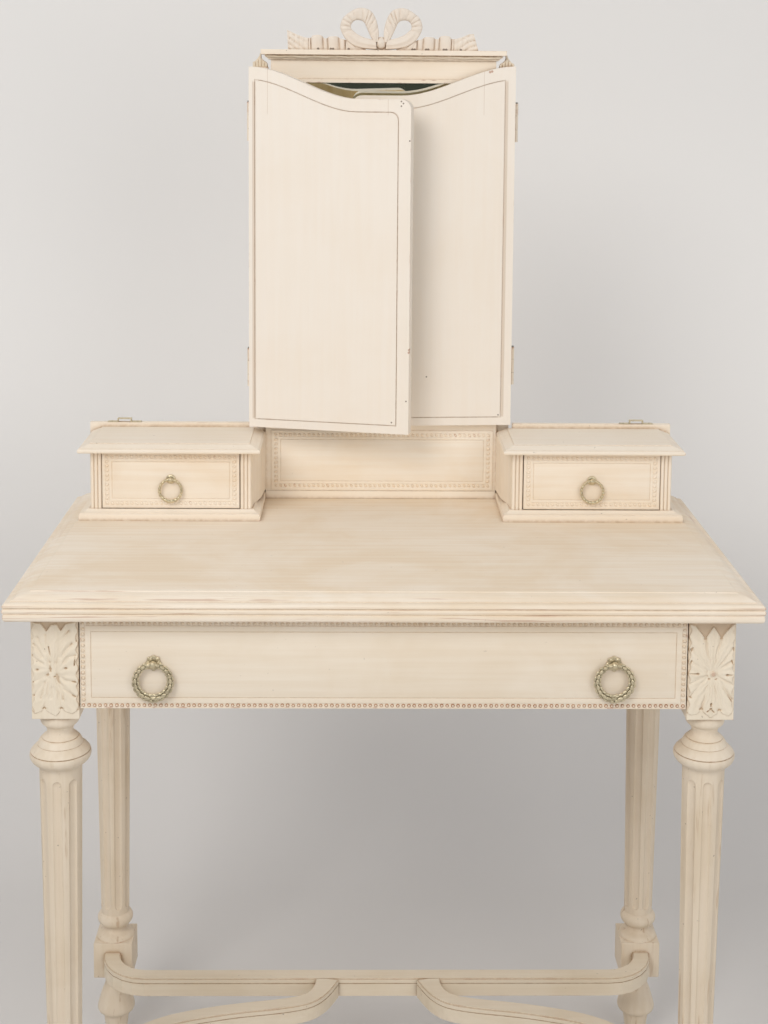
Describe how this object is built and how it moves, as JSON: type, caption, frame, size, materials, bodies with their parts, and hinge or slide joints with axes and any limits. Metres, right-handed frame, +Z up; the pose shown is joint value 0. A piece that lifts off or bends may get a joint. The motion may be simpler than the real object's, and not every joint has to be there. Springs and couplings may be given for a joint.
{
  "type": "vanity table with mirror",
  "caption": "Painted dressing table on turned, fluted legs with drawers, ring pulls and a folding three-part mirror on top.",
  "frame": {"origin": "middle of the table's footprint, on the floor", "axes": "+Z up, front faces -Y, +X to the right of a person facing the table"},
  "size_m": [0.82, 0.4462, 1.4075],
  "materials": {
    "cream_paint": "matt cream paint, rubbed through to red-brown on the edges",
    "bare_wood": "bare aged wood",
    "brass": "old dull gilt brass",
    "painted_hinge": "hinge leaves painted over with the cream paint",
    "mirror_glass": "silvered glass",
    "pin_steel": "dull steel"
  },
  "bodies": {
    "table": {"top_board": "cream_paint", "leg_front_left": "cream_paint", "leg_front_right": "cream_paint", "leg_back_left": "cream_paint", "leg_back_right": "cream_paint", "apron_left": "cream_paint", "apron_right": "cream_paint", "apron_back": "cream_paint", "front_rail_upper": "cream_paint", "front_rail_lower": "cream_paint", "drawer_runners": "bare_wood", "drawer_kickers": "bare_wood", "stretcher_rear": "cream_paint", "stretcher_arm_left": "cream_paint", "stretcher_arm_right": "cream_paint", "box_base_left": "cream_paint", "box_base_right": "cream_paint", "box_side_outer_left": "cream_paint", "box_side_outer_right": "cream_paint", "box_side_inner_left": "cream_paint", "box_side_inner_right": "cream_paint", "box_backs": "cream_paint", "box_lid_left": "cream_paint", "box_lid_right": "cream_paint", "lid_strips": "cream_paint", "lid_clips": "brass", "back_panel": "cream_paint", "mirror_stiles": "cream_paint", "mirror_rail_bottom": "cream_paint", "mirror_frieze": "cream_paint", "mirror_cornice": "cream_paint", "mirror_crest": "cream_paint", "mirror_consoles": "cream_paint", "mirror_bead": "cream_paint", "mirror_glass": "mirror_glass", "mirror_backboard": "bare_wood", "hinge_packing": "cream_paint", "hinge_leaves_frame": "painted_hinge", "hinge_pins": "pin_steel"},
    "wide_drawer": {"drawer_front": "cream_paint", "drawer_sides": "bare_wood", "drawer_back": "bare_wood", "drawer_bottom": "bare_wood", "drawer_pull_mounts": "brass"},
    "ring_left": {"pull_ring_left": "brass"},
    "ring_right": {"pull_ring_right": "brass"},
    "small_drawer_left": {"small_drawer_front_left": "cream_paint", "small_drawer_tray_left": "bare_wood", "small_pull_mount_left": "brass"},
    "small_ring_left": {"small_pull_ring_left": "brass"},
    "wing_left": {"wing_left": "cream_paint", "wing_glass_left": "mirror_glass", "wing_hinges_left": "painted_hinge"},
    "small_drawer_right": {"small_drawer_front_right": "cream_paint", "small_drawer_tray_right": "bare_wood", "small_pull_mount_right": "brass"},
    "small_ring_right": {"small_pull_ring_right": "brass"},
    "wing_right": {"wing_right": "cream_paint", "wing_glass_right": "mirror_glass", "wing_hinges_right": "painted_hinge"}
  },
  "joints": [
    {"name": "wide_drawer_slide", "type": "slide", "parent": "table", "child": "wide_drawer", "axis": [0, -1, 0], "range_m": [0, 0.25]},
    {"name": "ring_left_hinge", "type": "hinge", "parent": "wide_drawer", "child": "ring_left", "pos_m": [-0.2515, -0.20435, 0.6795], "axis": [-1, 0, 0], "range_deg": [-3, 100]},
    {"name": "ring_right_hinge", "type": "hinge", "parent": "wide_drawer", "child": "ring_right", "pos_m": [0.2515, -0.20435, 0.6795], "axis": [-1, 0, 0], "range_deg": [-3, 100]},
    {"name": "small_drawer_left_slide", "type": "slide", "parent": "table", "child": "small_drawer_left", "axis": [0, -1, 0], "range_m": [0, 0.07]},
    {"name": "small_ring_left_hinge", "type": "hinge", "parent": "small_drawer_left", "child": "small_ring_left", "pos_m": [-0.2665, 0.08175, 0.8108], "axis": [-1, 0, 0], "range_deg": [-3, 100]},
    {"name": "small_drawer_right_slide", "type": "slide", "parent": "table", "child": "small_drawer_right", "axis": [0, -1, 0], "range_m": [0, 0.07]},
    {"name": "small_ring_right_hinge", "type": "hinge", "parent": "small_drawer_right", "child": "small_ring_right", "pos_m": [0.2665, 0.08175, 0.8108], "axis": [-1, 0, 0], "range_deg": [-3, 100]},
    {"name": "wing_left_hinge", "type": "hinge", "parent": "table", "child": "wing_left", "pos_m": [-0.1732, 0.17355, 1.064], "axis": [0, 0, -1], "range_deg": [-3, 115]},
    {"name": "wing_right_hinge", "type": "hinge", "parent": "table", "child": "wing_right", "pos_m": [0.1732, 0.19375, 1.064], "axis": [0, 0, 1], "range_deg": [-3, 115]}
  ],
  "couplings": [
    {"joint": "wing_right_hinge", "follows": "wing_left_hinge", "ratio": 1}
  ]
}
